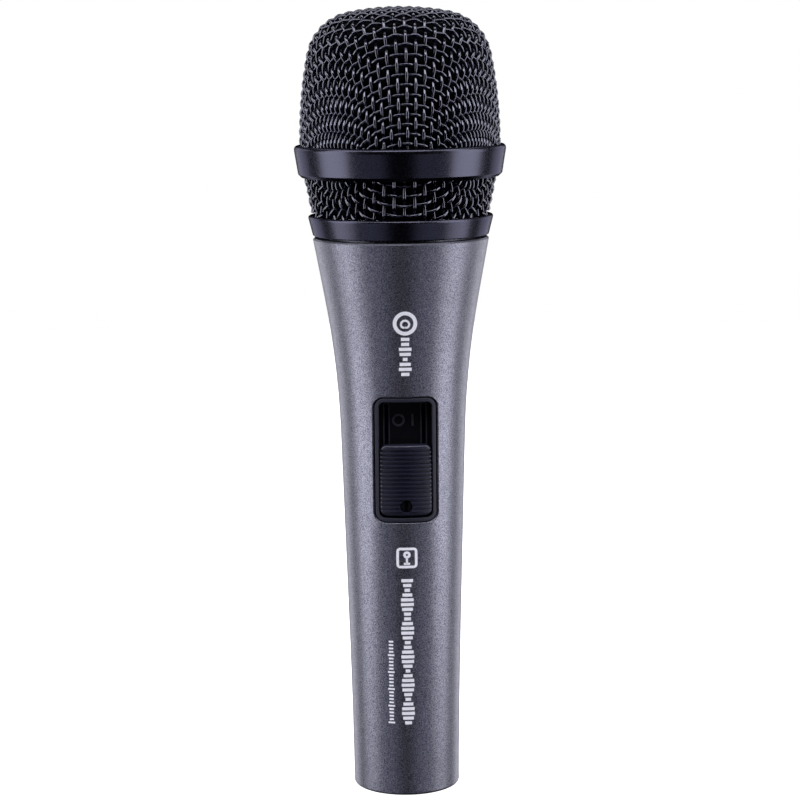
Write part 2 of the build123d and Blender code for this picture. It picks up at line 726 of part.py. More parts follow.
stem_low, stem_high = FRAME_STEM_Z
frame_wall_r = FRAME_R - 1.0
frame_outline = [
    (CHAMBER_R + 0.05, stem_low),
    (FRAME_STEM_R, stem_low),
    (FRAME_STEM_R, stem_high),
    (FRAME_R, stem_high),
    (FRAME_R, FRAME_TOP_Z),
    (frame_wall_r, FRAME_TOP_Z),
    (frame_wall_r, DIAPHRAGM_SEAT_Z),
    (frame_wall_r - 1.3, DIAPHRAGM_SEAT_Z),
    (frame_wall_r - 1.3, DIAPHRAGM_SEAT_Z - 1.0),
    (frame_wall_r, DIAPHRAGM_SEAT_Z - 2.2),
    (frame_wall_r, FRAME_FLOOR_TOP_Z),
    (0, FRAME_FLOOR_TOP_Z),
    (0, stem_high),
    (CHAMBER_R + 0.05, stem_high),
]
with BuildPart() as capsule_frame:
    add(turned(frame_outline))
    with BuildSketch(Plane.XY.offset(stem_high)):
        with PolarLocations(VENT_CIRCLE_R, VENT_COUNT):
            Circle(VENT_R)
    extrude(amount=FRAME_FLOOR_TOP_Z - stem_high, mode=Mode.SUBTRACT)
save(capsule_frame.part, "capsule_frame")

cup_low, cup_high = MAGNET_CUP_Z
cup_outline = [
    (0, cup_low),
    (MAGNET_CUP_R, cup_low),
    (MAGNET_CUP_R, cup_high),
    (MAGNET_CUP_BORE_R, cup_high),
    (MAGNET_CUP_BORE_R, MAGNET_Z[0]),
    (0, MAGNET_Z[0]),
]
save(turned(cup_outline), "magnet_cup")
save(ring(0, MAGNET_R, *MAGNET_Z), "magnet")
save(ring(0, POLE_R, MAGNET_Z[1], cup_high), "pole_plate")
save(ring(*VOICE_COIL_R, *VOICE_COIL_Z), "voice_coil")

# A thin dome over the coil, with a ring-shaped bulge around it out to its flat edge.
edge_z = VOICE_COIL_Z[1]
with BuildPart() as diaphragm:
    with BuildSketch(Plane.XZ):
        with BuildLine():
            top = edge_z + DIAPHRAGM_THICKNESS
            coil_r = VOICE_COIL_R[1]
            bulge_mid = (coil_r + BULGE_R) / 2
            dome_cap(top, coil_r, DIAPHRAGM_RISE)
            ThreePointArc((coil_r, top), (bulge_mid, top + BULGE_RISE), (BULGE_R, top))
            Polyline((BULGE_R, top), (DIAPHRAGM_R, top), (DIAPHRAGM_R, edge_z), (BULGE_R, edge_z))
            ThreePointArc((BULGE_R, edge_z), (bulge_mid, edge_z + BULGE_RISE), (coil_r, edge_z))
            dome_cap(edge_z, coil_r, DIAPHRAGM_RISE)
            Line((0, edge_z + DIAPHRAGM_RISE), (0, top + DIAPHRAGM_RISE))
        make_face()
    revolve(axis=Axis.Z)
save(diaphragm.part, "diaphragm")

bobbin_low, bobbin_high = HUM_COIL_Z
bobbin_inner = MAGNET_CUP_R + 0.1
bobbin_core = bobbin_inner + BOBBIN_WALL
winding_z = (bobbin_low + BOBBIN_WALL, bobbin_high - BOBBIN_WALL)
bobbin_outline = [
    (bobbin_inner, bobbin_low),
    (BOBBIN_R, bobbin_low),
    (BOBBIN_R, winding_z[0]),
    (bobbin_core, winding_z[0]),
    (bobbin_core, winding_z[1]),
    (BOBBIN_R, winding_z[1]),
    (BOBBIN_R, bobbin_high),
    (bobbin_inner, bobbin_high),
]
save(turned(bobbin_outline), "hum_coil_bobbin")
winding = ring(bobbin_core, BOBBIN_R - 0.4, *winding_z)
save(winding, "hum_coil_winding")

cover_low, cover_high = COVER_Z
cover_outline = [
    (0, cover_high - COVER_THICKNESS),
    (FRAME_R + 0.05, cover_high - COVER_THICKNESS),
    (FRAME_R + 0.05, cover_low),
    (COVER_R, cover_low),
    (COVER_R, cover_high - 0.6),
    (COVER_R - 0.6, cover_high),
    (0, cover_high),
]
with BuildPart() as front_cover:
    add(turned(cover_outline))
    with BuildSketch(Plane.XY.offset(cover_high - 1)):
        Circle(COVER_HOLE_R)
        for row in range(1, COVER_HOLE_ROWS + 1):
            with PolarLocations(row * COVER_HOLE_SPACING, 6 * row):
                Circle(COVER_HOLE_R)
    extrude(amount=1.2, mode=Mode.SUBTRACT)
save(front_cover.part, "front_cover")
felt_top_z = cover_high - COVER_THICKNESS - 0.05
save(ring(0, FELT_R, felt_top_z - FELT_THICKNESS, felt_top_z), "front_felt")

chamber_low, chamber_high = CHAMBER_Z
chamber_outline = [
    (0, chamber_low),
    (CHAMBER_R, chamber_low),
    (CHAMBER_R, chamber_high),
    (CHAMBER_R - CHAMBER_WALL, chamber_high),
    (CHAMBER_R - CHAMBER_WALL, chamber_low + CHAMBER_WALL),
    (0, chamber_low + CHAMBER_WALL),
]
save(turned(chamber_outline), "rear_chamber")
plug_z = (chamber_low + CHAMBER_WALL + 0.2, chamber_low + CHAMBER_FOAM_TOP)
foam_plug = ring(0, CHAMBER_R - CHAMBER_WALL - 0.1, *plug_z)
save(foam_plug, "chamber_foam")

board_bottom_z = chamber_low - TERMINAL_BOARD_THICKNESS
tag_width, tag_thickness = TERMINAL_SIZE
with BuildPart() as terminal_board:
    add(ring(0, TERMINAL_BOARD_R, board_bottom_z, chamber_low))
    with BuildSketch(Plane.XY.offset(board_bottom_z)):
        with Locations((-TERMINAL_X, 0), (TERMINAL_X, 0)):
            Rectangle(tag_width + 0.1, tag_thickness + 0.1)
    extrude(amount=TERMINAL_BOARD_THICKNESS, mode=Mode.SUBTRACT)
save(terminal_board.part, "terminal_board")

with BuildPart() as capsule_terminals:
    with BuildSketch(Plane.XY.offset(board_bottom_z - TERMINAL_LENGTH)):
        with Locations((-TERMINAL_X, 0), (TERMINAL_X, 0)):
            Rectangle(tag_width, tag_thickness)
    extrude(amount=TERMINAL_BOARD_THICKNESS + TERMINAL_LENGTH)
save(capsule_terminals.part, "capsule_terminals")

# ---- Leads: connector to board, and board to capsule ----

board_back_y = -BOARD_DEPTHS[0] + LEAD_R + 0.1
for name, target_x, bulge in (("1", -3.4, -1.2), ("2", 3.4, 1.0), ("3", 0.3, 1.8)):
    x, y = pin_places[name]
    route = [
        (x, y, CUP_TOP_Z - 2.5),
        (x, y, CUP_TOP_Z + 4.5),
        (x * 0.8 + bulge, y * 0.7 + 0.6, 43),
        (target_x + bulge * 0.4, board_back_y + 1.6, 51.5),
        (target_x, board_back_y, 58.5),
        (target_x, board_back_y, 63.4),
    ]
    save(lead(route), f"connector_lead_{name}")

for name, side in (("red", 1), ("black", -1)):
    route = [
        (side * 2.7, board_back_y, 85.5),
        (side * 2.7, board_back_y, 92.5),
        (side * 3.4, board_back_y + 1.9, 98.0),
        (side * TERMINAL_X, -0.95, 102.0),
        (side * TERMINAL_X, -0.95, board_bottom_z - 0.8),
    ]
    save(lead(route), f"capsule_lead_{name}")
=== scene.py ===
import json
import math

import bpy
import numpy as np
from mathutils import Matrix, Vector
from mathutils.bvhtree import BVHTree


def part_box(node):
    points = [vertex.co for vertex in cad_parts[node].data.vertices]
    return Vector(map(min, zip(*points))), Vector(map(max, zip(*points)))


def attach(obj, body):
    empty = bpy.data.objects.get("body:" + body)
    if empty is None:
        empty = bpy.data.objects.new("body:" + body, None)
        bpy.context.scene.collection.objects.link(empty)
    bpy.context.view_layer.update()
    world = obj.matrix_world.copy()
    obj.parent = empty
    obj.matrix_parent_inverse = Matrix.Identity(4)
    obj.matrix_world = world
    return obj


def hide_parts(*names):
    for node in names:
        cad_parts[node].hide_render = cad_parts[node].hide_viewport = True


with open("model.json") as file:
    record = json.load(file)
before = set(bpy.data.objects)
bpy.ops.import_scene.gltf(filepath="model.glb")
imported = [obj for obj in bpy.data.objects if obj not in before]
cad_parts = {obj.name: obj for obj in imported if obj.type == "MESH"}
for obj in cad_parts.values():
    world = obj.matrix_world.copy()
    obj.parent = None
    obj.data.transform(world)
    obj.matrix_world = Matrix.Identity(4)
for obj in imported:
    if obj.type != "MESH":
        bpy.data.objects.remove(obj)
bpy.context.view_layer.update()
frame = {"nodes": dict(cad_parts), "record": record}
node_slots = {entry["node"]: entry["material_slot"] for entry in frame["record"]["subparts"]}

# A dynamic microphone standing on its connector end: woven wire basket, lacquered
# handle and slide switch. Metres, +Z up the microphone's axis, the switch faces -Y.

MM = 0.001
TINY = 1e-7  # a distance in metres or a share that counts as none

# How far apart points are on an outline and along a printed stroke, and the distance over
# which a slope is measured
OUTLINE_STEP = 0.15 * MM
MARK_STEP = 0.2 * MM
SLOPE_STEP = 0.05 * MM

# The dome's outline: three arcs, each tangent to the next, down to a straight wall
DOME_EDGE_Z = 150 * MM
SIDE_ARC_R = 100 * MM
SHOULDER_ARC_R = 12 * MM
CROWN_ARC_R = 60 * MM

# The woven wire
WIRE_R = 0.36 * MM
WEAVE_PITCH = 2.25 * MM
WIRE_SIDES = 8
WIRE_STEPS = 4

# The search for each crossing: its steps, the most that one step moves it along the
# outline and around the axis, and the largest error that may be left
DRAPE_STEPS = 12
DRAPE_MOVE = 1 * MM
DRAPE_TURN = 0.3
DRAPE_ERROR = 0.001 * MM

# The dome's cloth bunches towards the rim, as if it were cut to cover a wider and longer
# wall, more and more between two distances along the outline from the apex. Its rows are
# turned a little from the switch.
DOME_CLOTH_EASE = (16 * MM, 50 * MM)
DOME_CLOTH_SLACK = 7 * MM
DOME_CLOTH_EXTRA = 0.09
DOME_CLOTH_TURN = math.radians(2.0)

# The bowl that the lower band's cloth was pressed over: two (radius, height) places on its
# leaning wall, and how far it goes past the band below and above
BOWL_CORNER_R = 4 * MM
BOWL_FOOT = (20.3 * MM, 133.5 * MM)
BOWL_RIM = (22.15 * MM, 143.0 * MM)
BOWL_MARGIN = 2 * MM

# The foam liner, and the outside of its skirt at the dome's rim, the waist ring and the foot
FOAM_THICKNESS = 3 * MM
FOAM_RIM_R = 20.4 * MM
FOAM_WAIST = (20.1 * MM, 142.1 * MM)
FOAM_FOOT_R = 18.4 * MM
FOAM_FOOT_INNER_R = 17.1 * MM
FOAM_ROUGHNESS = 0.12 * MM
FOAM_SEGMENTS = 240
FOAM_LEAST_R = 0.01 * MM

# The white marks printed on the handle, by height, and the symbols in the switch's recess
INK_HEIGHT = 0.03 * MM
INK_DEPTH = 0.02 * MM
POLAR_MARK_Z = 110.2 * MM
SHORT_BARS_Z = (98.6 * MM, 106.6 * MM)
BADGE_Z = 56.3 * MM
LONG_BARS_Z = (17.4 * MM, 51.0 * MM)
SCALE_Z = (17.4 * MM, 36.6 * MM)
SCALE_X = -3.8 * MM
SCALE_PITCH = 0.8 * MM
SCALE_STROKE = 0.4 * MM
LONG_TICK_HALF = 0.75 * MM
SHORT_TICK_HALF = 0.5 * MM
BAR_STROKE = 0.74 * MM
BADGE_HALF = 2.1 * MM
BADGE_CORNER_R = 0.6 * MM
BADGE_OUTLINE_STROKE = 0.6 * MM
BADGE_STROKE = 0.5 * MM
SHORTEST_BAR = 0.35
SYMBOL_STROKE = 0.5 * MM
SYMBOL_HEIGHT = 0.15 * MM
SYMBOL_DEPTH = 0.05 * MM
SWITCH_SYMBOL_Z = 87.6 * MM

# The switch tray: what stands this far in front of the axis is its rim or a guide lip,
# which is painted lighter as a highlight, except in its middle, given here by its height
# and by its half width and half height
TRAY_LIP_DEPTH = 11.10 * MM
TRAY_MIDDLE_Z = 78.8 * MM
TRAY_MIDDLE_HALF = (3.4 * MM, 12.9 * MM)

# How deep the grain of moulded plastic is
GRAIN_DEPTH = 0.01 * MM

# The rays that find a mark's place on a surface start here, well in front of it
RAY_START_Y = -100 * MM

# The floor, just clear of the handle's end face
FLOOR_R = 900 * MM
FLOOR_GAP = 0.1 * MM

# The camera, where the lights aim, and how far both are turned about the microphone
CAMERA_LENS_MM = 106.71
CAMERA_PLACE = (-0.63 * MM, -539.36 * MM, 173.40 * MM)
CAMERA_DIP = math.radians(8.740)
CAMERA_ROLL = math.radians(-0.645)
LIGHTS_AIM = (0, 0, 90 * MM)
VIEW_TURN = Matrix.Rotation(math.radians(-2.3), 4, "Z")


# ---- Profiles ----


def arc_points(centre, radius, start, end):
    """Points on an arc in the (radius, height) plane, between two angles."""
    count = max(2, math.ceil(abs(end - start) * radius / OUTLINE_STEP))
    angles = np.linspace(start, end, count + 1)
    return [(centre[0] + radius * math.cos(a), centre[1] + radius * math.sin(a)) for a in angles]


def line_points(start, end, step=OUTLINE_STEP):
    """Evenly spaced points on a straight line."""
    count = max(1, math.ceil(math.dist(start, end) / step))
    return [tuple(np.array(start) + (np.array(end) - start) * k / count) for k in range(count + 1)]


def joined(*runs):
    """One outline from several runs of points, without repeating the shared ends."""
    points = list(runs[0])
    for run in runs[1:]:
        points += [p for p in run if math.dist(p, points[-1]) > TINY]
    return np.array(points)


def angle_from(centre, point):
    """The direction from a centre to a point, as an angle in the profile's plane."""
    return math.atan2(point[1] - centre[1], point[0] - centre[0])


def dome_outline(inset, bottom_z):
    """The dome's half outline from its apex down its wall, moved inwards."""
    _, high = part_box("grille_dome")
    edge_r = high.x
    side = (edge_r - SIDE_ARC_R, DOME_EDGE_Z)
    crown = (0, high.z - CROWN_ARC_R)
    to_side = SIDE_ARC_R - SHOULDER_ARC_R
    to_crown = CROWN_ARC_R - SHOULDER_ARC_R
    gap = math.dist(side, crown)
    along = (to_side**2 - to_crown**2 + gap**2) / (2 * gap)
    across = math.sqrt(to_side**2 - along**2)
    ux, uz = (crown[0] - side[0]) / gap, (crown[1] - side[1]) / gap
    shoulder = (side[0] + ux * along - uz * across, side[1] + uz * along + ux * across)
    at_side, at_crown = angle_from(side, shoulder), angle_from(crown, shoulder)
    return joined(
        arc_points(crown, CROWN_ARC_R - inset, math.pi / 2, at_crown),
        arc_points(shoulder, SHOULDER_ARC_R - inset, at_crown, at_side),
        arc_points(side, SIDE_ARC_R - inset, at_side, 0),
        line_points((edge_r - inset, DOME_EDGE_Z), (edge_r - inset, bottom_z)),
    )


def bowl_outline(inset):
    """The bowl that the lower band's cloth was pressed over, from its centre to its rim."""
    low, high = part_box("grille_band")
    flat_z = low.z - BOWL_MARGIN
    slope = (BOWL_RIM[0] - BOWL_FOOT[0]) / (BOWL_RIM[1] - BOWL_FOOT[1])
    lean = math.atan(slope)
    side_r = BOWL_FOOT[0] - inset + slope * (flat_z - BOWL_FOOT[1])
    corner_x = side_r - BOWL_CORNER_R * math.tan(math.pi / 4 - lean / 2)
    centre = (corner_x, flat_z + BOWL_CORNER_R)
    top_z = high.z + BOWL_MARGIN
    corner = arc_points(centre, BOWL_CORNER_R, -math.pi / 2, -lean)
    top = (corner[-1][0] + slope * (top_z - corner[-1][1]), top_z)
    return joined(line_points((0, flat_z), (corner_x, flat_z)), corner, line_points(corner[-1], top))


class Meridian:
    """A surface of revolution, read by the distance along its outline."""

    def __init__(self, points):
        steps = np.hypot(*np.diff(points, axis=0).T)
        self.s = np.concatenate([[0], np.cumsum(steps)])
        self.r, self.z = points.T
        self.length = self.s[-1]

    def at(self, s, theta):
        """The point at a distance along the outline and an angle about the axis."""
        r = np.interp(s, self.s, self.r)
        return np.array([r * math.cos(theta), r * math.sin(theta), np.interp(s, self.s, self.z)])

    def slopes(self, s, theta):
        """How a point moves with the distance along the outline and with the angle."""
        ahead, behind = self.at(s + SLOPE_STEP, theta), self.at(s - SLOPE_STEP, theta)
        along = (ahead - behind) / (2 * SLOPE_STEP)
        r = np.interp(s, self.s, self.r)
        around = np.array([-r * math.sin(theta), r * math.cos(theta), 0])
        return along, around


def cloth_over(surface, slack, extra, ease):
    """The wider and longer surface that the cloth would cover with all its meshes open."""
    share = np.clip((surface.s - ease[0]) / (ease[1] - ease[0]), 0, 1)
    share = share**2 * (3 - 2 * share)
    radius = surface.r + slack * share
    steps = np.diff(surface.s) * (1 + extra * (share[1:] + share[:-1]) / 2)
    drops = np.sqrt(np.maximum(steps**2 - np.diff(radius) ** 2, 0))
    return Meridian(np.column_stack([radius, np.concatenate([[0], -np.cumsum(drops)])]))


# ---- Woven wire ----


def draped_corner(surface, place, towards_a, towards_b):
    """The point one pitch from two others on the surface, or None past the cloth's edge."""
    s, theta = place
    for _ in range(DRAPE_STEPS):
        point = surface.at(s, theta)
        along, around = surface.slopes(s, theta)
        gaps = [point - towards_a, point - towards_b]
        error = np.array([np.linalg.norm(gap) - WEAVE_PITCH for gap in gaps])
        rows = np.array([[gap @ along, gap @ around] for gap in gaps])
        rows /= np.array([[np.linalg.norm(gap)] for gap in gaps])
        if abs(np.linalg.det(rows)) < TINY:
            return None
        move = np.linalg.solve(rows, -error)
        s += np.clip(move[0], -DRAPE_MOVE, DRAPE_MOVE)
        theta += np.clip(move[1], -DRAPE_TURN, DRAPE_TURN)
    if abs(error).max() > DRAPE_ERROR or not 0 < s < surface.length:
        return None
    return s, theta


def draped_quarter(surface):
    """Crossings of the cloth in one quarter, laid out from the centre with equal sides."""
    count = int(surface.length / WEAVE_PITCH)
    net = {(k, 0): (k * WEAVE_PITCH, 0.0) for k in range(count + 1)}
    net.update({(0, k): (k * WEAVE_PITCH, math.pi / 2) for k in range(1, count + 1)})
    for total in range(2, 2 * count):
        for i in range(max(1, total - count), min(count, total - 1) + 1):
            j = total - i
            if (i - 1, j) not in net or (i, j - 1) not in net or (i - 1, j - 1) not in net:
                continue
            a, b = net[i - 1, j], net[i, j - 1]
            corner = net[i - 1, j - 1]
            guess = (max(a[0], b[0]) + 0.4 * WEAVE_PITCH, (a[1] + b[1]) / 2)
            if corner[0] == 0:  # across one square from the apex
                guess = (1.4 * WEAVE_PITCH, math.pi / 4)
            place = draped_corner(surface, guess, surface.at(*a), surface.at(*b))
            if place and 0 < place[1] < math.pi / 2:
                net[i, j] = place
    return net


def cloth_crossings(surface, cloth, turn):
    """Every crossing of the cloth with its outward direction, by its row and column."""
    crossings = {}
    cos, sin = math.cos(turn), math.sin(turn)
    spin = np.array([[cos, -sin, 0], [sin, cos, 0], [0, 0, 1]])
    for (i, j), (cloth_s, theta) in draped_quarter(cloth).items():
        s = np.interp(cloth_s, cloth.s, surface.s)
        point = surface.at(s, theta)
        along, _ = surface.slopes(max(s, 2 * SLOPE_STEP), theta)
        reach, rise = math.hypot(*along[:2]), along[2]
        out = np.array([-rise * math.cos(theta), -rise * math.sin(theta), reach])
        if s == 0:
            out = np.array([0, 0, 1.0])
        out /= np.linalg.norm(out)
        for side_x in (1, -1):
            for side_y in (1, -1):
                flip = np.array([side_x, side_y, 1])
                crossings[i * side_x, j * side_y] = (spin @ (point * flip), spin @ (out * flip))
    return crossings


def wire_runs(crossings, along_rows, low_z, high_z):
    """Each wire's crossings in order, cut where the cloth ends, bowed over and under."""
    size = max(abs(i) for i, _ in crossings) + 1
    sign = 1 if along_rows else -1
    runs = []
    for fixed in range(-size, size + 1):
        run = []
        for moving in range(-size, size + 2):
            key = (moving, fixed) if along_rows else (fixed, moving)
            place = crossings.get(key)
            if place is not None and low_z <= place[0][2] <= high_z:
                point, out = place
                bow = sign * (1 if sum(key) % 2 == 0 else -1) * WIRE_R
                run.append((point + out * bow, out))
            else:
                if len(run) > 1:
                    runs.append(run)
                run = []
    return runs


def smooth_path(points):
    """A Catmull-Rom curve through the points."""
    ends = [2 * points[0] - points[1], *points, 2 * points[-1] - points[-2]]
    p = np.array(ends)
    t = np.linspace(0, 1, WIRE_STEPS, endpoint=False)[:, None, None]
    p0, p1, p2, p3 = p[:-3], p[1:-2], p[2:-1], p[3:]
    curve = 0.5 * (
        2 * p1
        + (p2 - p0) * t
        + (2 * p0 - 5 * p1 + 4 * p2 - p3) * t**2
        + (3 * p1 - p0 - 3 * p2 + p3) * t**3
    )
    return np.vstack([curve.transpose(1, 0, 2).reshape(-1, 3), p[-2]])


def tube(path, outs):
    """Points and faces of a round wire along a path, closed at both ends."""
    heading = np.gradient(path, axis=0)
    heading /= np.linalg.norm(heading, axis=1)[:, None]
    side = np.cross(heading, outs)
    side /= np.linalg.norm(side, axis=1)[:, None]
    up = np.cross(side, heading)
    turn = np.linspace(0, 2 * math.pi, WIRE_SIDES, endpoint=False)[None, :, None]
    rings = path[:, None] + WIRE_R * (np.cos(turn) * up[:, None] + np.sin(turn) * side[:, None])
    count = len(path)
    first = np.arange(count - 1)[:, None] * WIRE_SIDES
    k = np.arange(WIRE_SIDES)[None, :]
    after = (k + 1) % WIRE_SIDES
    quads = np.stack([first + k, first + WIRE_SIDES + k, first + WIRE_SIDES + after, first + after], -1)
    last = (count - 1) * WIRE_SIDES
    start_cap = list(range(WIRE_SIDES))
    end_cap = list(range(last + WIRE_SIDES - 1, last - 1, -1))
    return rings.reshape(-1, 3), quads.reshape(-1, 4).tolist() + [start_cap, end_cap]


def new_object(name, verts, faces, smooth=True):
    """A mesh object in the scene, from points and faces."""
    mesh = bpy.data.meshes.new(name)
    mesh.from_pydata([tuple(v) for v in verts], [], faces)
    mesh.validate()
    mesh.polygons.foreach_set("use_smooth", [smooth] * len(mesh.polygons))
    mesh.update()
    piece = bpy.data.objects.new(name, mesh)
    bpy.context.scene.collection.objects.link(piece)
    return piece


def woven_piece(name, crossings, low_z, high_z):
    """Cloth of round wires, each bowed over and under the ones it crosses."""
    verts, faces, base = [], [], 0
    for along_rows in (True, False):
        for run in wire_runs(crossings, along_rows, low_z, high_z):
            path = smooth_path([point for point, _ in run])
            outs = smooth_path([out for _, out in run])
            points, quads = tube(path, outs)
            verts.append(points)
            faces += [[v + base for v in face] for face in quads]
            base += len(points)
    return new_object(name, np.vstack(verts), faces)


def lathe(name, outline, segments, roughen):
    """A turned piece from a closed (radius, height) outline, its surface a little uneven."""
    uneven = np.random.default_rng(7)
    rows = len(outline)
    verts, faces = [], []
    for k in range(segments):
        angle = k * math.tau / segments
        for radius, height in outline:
            radius += roughen * uneven.uniform(-1, 0)
            verts.append((radius * math.cos(angle), radius * math.sin(angle), height))
        this, after = k * rows, (k + 1) % segments * rows
        for row in range(rows):
            up = (row + 1) % rows
            faces.append([this + row, after + row, after + up, this + up])
    return new_object(name, verts, faces)


# ---- Printed and raised marks ----


class FrontFace:
    """The outside of a CAD piece, met from the switch side."""

    def __init__(self, node):
        piece = frame["nodes"][node]
        verts = [piece.matrix_world @ vert.co for vert in piece.data.vertices]
        faces = [list(face.vertices) for face in piece.data.polygons]
        self.tree = BVHTree.FromPolygons(verts, faces)

    def at(self, x, z, lift):
        """The point at (x, z) on the surface, lifted off it towards the outside."""
        start = Vector((x, RAY_START_Y, z))
        hit, normal, _, _ = self.tree.ray_cast(start, Vector((0, 1, 0)))
        outward = normal if normal.y < 0 else -normal
        return hit + outward * lift


def stroke_edges(line, width, closed):
    """The two edges of a stroke of constant width along a line of (x, z) points."""
    line = np.array(line)
    if closed:
        heading = np.roll(line, -1, axis=0) - np.roll(line, 1, axis=0)
    else:
        heading = np.gradient(line, axis=0)
    heading /= np.linalg.norm(heading, axis=1)[:, None]
    across = np.column_stack([-heading[:, 1], heading[:, 0]]) * width / 2
    return line - across, line + across


def marks(name, face, strokes, height, depth):
    """Strokes laid on a surface as thin raised bands, sunk a little so that none floats."""
    verts, faces = [], []
    for line, width, closed in strokes:
        base = len(verts)
        for pair in zip(*stroke_edges(line, width, closed)):
            for x, z in pair:
                verts += [face.at(x, z, height), face.at(x, z, -depth)]
        count = len(line)
        for k in range(count if closed else count - 1):
            a, b = base + 4 * k, base + 4 * ((k + 1) % count)
            faces += [[a, b, b + 2, a + 2], [a + 3, b + 3, b + 1, a + 1]]
            faces += [[a + 1, b + 1, b, a], [a + 2, b + 2, b + 3, a + 3]]
        if not closed:
            end = base + 4 * (count - 1)
            faces += [[base, base + 2, base + 3, base + 1], [end + 1, end + 3, end + 2, end]]
    return new_object(name, verts, faces, smooth=False)


def run_between(start, end):
    """Evenly spaced points from one (x, z) place to another."""
    return line_points(start, end, MARK_STEP)


def loop_about(centre, radius, count=48):
    """Points around a circle of (x, z) places."""
    turns = np.arange(count) * math.tau / count
    return [(centre[0] + radius * math.cos(a), centre[1] + radius * math.sin(a)) for a in turns]


def polar_mark(z):
    """A ring around the heart-shaped pickup pattern."""
    ring_r, ring_stroke = 2.30 * MM, 0.85 * MM
    heart_size, heart_stroke, heart_drop = 0.70 * MM, 0.48 * MM, 0.75 * MM
    count = 60
    heart = []
    for a in np.arange(count) * math.tau / count + math.pi / count:
        reach = heart_size * (1 + math.sin(a))
        heart.append((reach * math.cos(a), z - heart_drop + reach * math.sin(a)))
    return [(loop_about((0, z), ring_r), ring_stroke, True), (heart, heart_stroke, True)]


def level_bars(low_z, high_z, spacing, half_width, waves):
    """Bars across the handle, long and short by turns like a sound level."""
    count = round((high_z - low_z) / spacing)
    strokes = []
    for k in range(count + 1):
        z = low_z + (high_z - low_z) * k / count
        wave = abs(math.sin(waves * math.pi * (k + 0.5) / (count + 1)))
        half = half_width * (SHORTEST_BAR + (1 - SHORTEST_BAR) * wave)
        strokes.append((run_between((-half, z), (half, z)), BAR_STROKE, False))
    return strokes


def badge(z):
    """A square with a small microphone in it."""
    straight = BADGE_HALF - BADGE_CORNER_R
    head_z, head_r = z + 0.72 * MM, 0.55 * MM
    stem_z = z + 0.15 * MM
    foot_z, foot_half = z - 1.35 * MM, 0.7 * MM
    outline = []
    for k in range(4):
        turn = k * math.pi / 2
        side = (math.cos(turn), math.sin(turn))
        up = (-side[1], side[0])
        run = run_between((BADGE_HALF, -straight), (BADGE_HALF, straight))
        arc = arc_points((straight, straight), BADGE_CORNER_R, 0, math.pi / 2)
        for u, v in run + arc[1:-1]:
            outline.append((u * side[0] + v * up[0], z + u * side[1] + v * up[1]))
    head = loop_about((0, head_z), head_r, 24)
    stem = run_between((0, stem_z), (0, foot_z))
    foot = run_between((-foot_half, foot_z), (foot_half, foot_z))
    return [
        (outline, BADGE_OUTLINE_STROKE, True),
        (head, BADGE_OUTLINE_STROKE, True),
        (stem, BADGE_STROKE, False),
        (foot, BADGE_STROKE, False),
    ]


def tick_scale(x, low_z, high_z):
    """A fine scale with every fifth tick longer."""
    ticks = round((high_z - low_z) / SCALE_PITCH)
    strokes = []
    for k in range(ticks + 1):
        z = low_z + (high_z - low_z) * k / ticks
        half = LONG_TICK_HALF if k % 5 == 0 else SHORT_TICK_HALF
        strokes.append((run_between((x - half, z), (x + half, z)), SCALE_STROKE, False))
    return strokes


def switch_symbols(z):
    """The off circle and the on stroke."""
    ring_x, ring_r = -1.5 * MM, 1.2 * MM
    bar_x, bar_half = 1.7 * MM, 1.35 * MM
    ring = loop_about((ring_x, z), ring_r)
    bar = run_between((bar_x, z - bar_half), (bar_x, z + bar_half))
    return [(ring, SYMBOL_STROKE, True), (bar, SYMBOL_STROKE, False)]


# ---- Materials ----


class Shader:
    """A material, with a short way to add and link its nodes."""

    def __init__(self, name, **sockets):
        self.material = bpy.data.materials.new(name)
        self.material.use_nodes = True
        self.tree = self.material.node_tree
        self.surface = self.tree.nodes["Principled BSDF"]
        for socket, value in sockets.items():
            self.surface.inputs[socket.replace("_", " ")].default_value = value

    def add(self, kind, inputs=None, **settings):
        """A node with its settings, and its inputs given as values or as other nodes' outputs."""
        node = self.tree.nodes.new(kind)
        for name, value in settings.items():
            setattr(node, name, value)
        for key, value in (inputs or {}).items():
            if isinstance(value, bpy.types.NodeSocket):
                self.tree.links.new(value, node.inputs[key])
            else:
                node.inputs[key].default_value = value
        return node

    def place(self):
        """The place on the piece, in its own metres."""
        return self.add("ShaderNodeTexCoord").outputs["Object"]

    def noise(self, scale, detail=3.0, roughness=0.5, place=None):
        """Cloudy noise from 0 to 1, with about this many clouds to the metre."""
        inputs = {"Vector": place or self.place(), "Scale": scale}
        inputs.update({"Detail": detail, "Roughness": roughness})
        return self.add("ShaderNodeTexNoise", inputs).outputs["Fac"]

    def ramp(self, factor, low, high, start=0.0, end=1.0):
        """A colour that goes from one to another as the factor rises between two levels."""
        node = self.add("ShaderNodeValToRGB", {"Fac": factor})
        node.color_ramp.elements[0].position = start
        node.color_ramp.elements[0].color = (*low, 1)
        node.color_ramp.elements[1].position = end
        node.color_ramp.elements[1].color = (*high, 1)
        return node.outputs["Color"]

    def span(self, factor, low, high, start=0.0, end=1.0):
        """A value that goes from one to another as the factor rises between two levels."""
        inputs = {"Value": factor, "From Min": start, "From Max": end}
        inputs.update({"To Min": low, "To Max": high})
        return self.add("ShaderNodeMapRange", inputs).outputs["Result"]

    def calculate(self, operation, first, second=0.0):
        """The result of an operation on one or two values."""
        node = self.add("ShaderNodeMath", {0: first, 1: second}, operation=operation)
        return node.outputs["Value"]

    def bump(self, height, distance, strength):
        """Makes the surface look raised where the height is larger."""
        inputs = {"Height": height, "Distance": distance, "Strength": strength}
        self.link(self.add("ShaderNodeBump", inputs).outputs["Normal"], "Normal")

    def link(self, output, socket):
        """Feeds a node's output to one of the surface's sockets."""
        self.tree.links.new(output, self.surface.inputs[socket])


